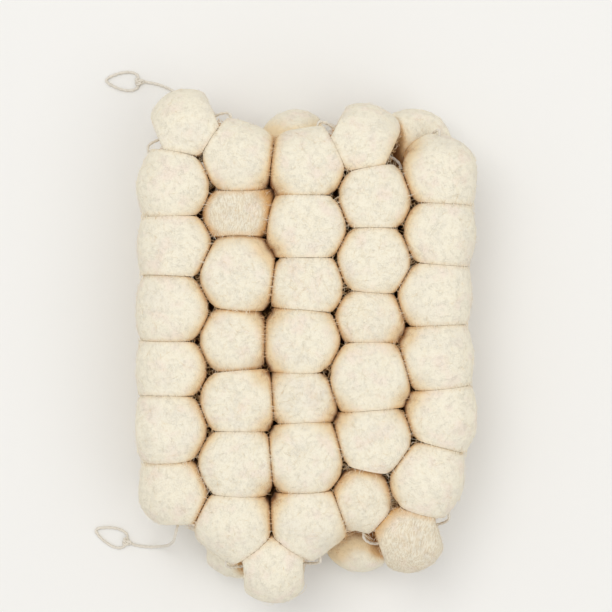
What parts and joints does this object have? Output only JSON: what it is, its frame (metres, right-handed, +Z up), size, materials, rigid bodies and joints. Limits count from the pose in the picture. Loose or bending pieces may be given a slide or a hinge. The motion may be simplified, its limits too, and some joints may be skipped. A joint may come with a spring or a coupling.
{
  "type": "wool garland",
  "caption": "Garland of pale felted wool balls on a string, folded back and forth into a flat, layered bundle of side-by-side runs, with looped string tails at its ends.",
  "frame": {"origin": "on the surface under the middle of the folded balls", "axes": "+Z up, +Y along the runs of balls, +X across them, with the picture's up as +Y and its right as +X"},
  "size_m": [0.1712, 0.2381, 0.06],
  "materials": {
    "wool_felt": "hairy cream wool felt, matt, with fine stray fibres",
    "cotton_string": "thin two-ply natural string, matt"
  },
  "bodies": {
    "root": {"ball_01": "wool_felt", "ball_02": "wool_felt", "ball_03": "wool_felt", "ball_04": "wool_felt", "ball_05": "wool_felt", "ball_06": "wool_felt", "ball_07": "wool_felt", "ball_08": "wool_felt", "ball_09": "wool_felt", "ball_10": "wool_felt", "ball_11": "wool_felt", "ball_12": "wool_felt", "ball_13": "wool_felt", "ball_14": "wool_felt", "ball_15": "wool_felt", "ball_16": "wool_felt", "ball_17": "wool_felt", "ball_18": "wool_felt", "ball_19": "wool_felt", "ball_20": "wool_felt", "ball_21": "wool_felt", "ball_22": "wool_felt", "ball_23": "wool_felt", "ball_24": "wool_felt", "ball_25": "wool_felt", "ball_26": "wool_felt", "ball_27": "wool_felt", "ball_28": "wool_felt", "ball_29": "wool_felt", "ball_30": "wool_felt", "ball_31": "wool_felt", "ball_32": "wool_felt", "ball_33": "wool_felt", "ball_34": "wool_felt", "ball_35": "wool_felt", "ball_36": "wool_felt", "ball_37": "wool_felt", "ball_38_39": "wool_felt", "ball_40_41": "wool_felt", "ball_42_43": "wool_felt", "ball_44": "wool_felt", "ball_45_46": "wool_felt", "ball_47_48": "wool_felt", "ball_49_50": "wool_felt", "ball_51": "wool_felt", "ball_52_53": "wool_felt", "ball_54_55": "wool_felt", "ball_56_57": "wool_felt", "ball_58": "wool_felt", "ball_59_60": "wool_felt", "ball_61_62": "wool_felt", "ball_63_64": "wool_felt", "string": "cotton_string", "tail_first": "cotton_string", "tail_last": "cotton_string"}
  },
  "joints": []
}
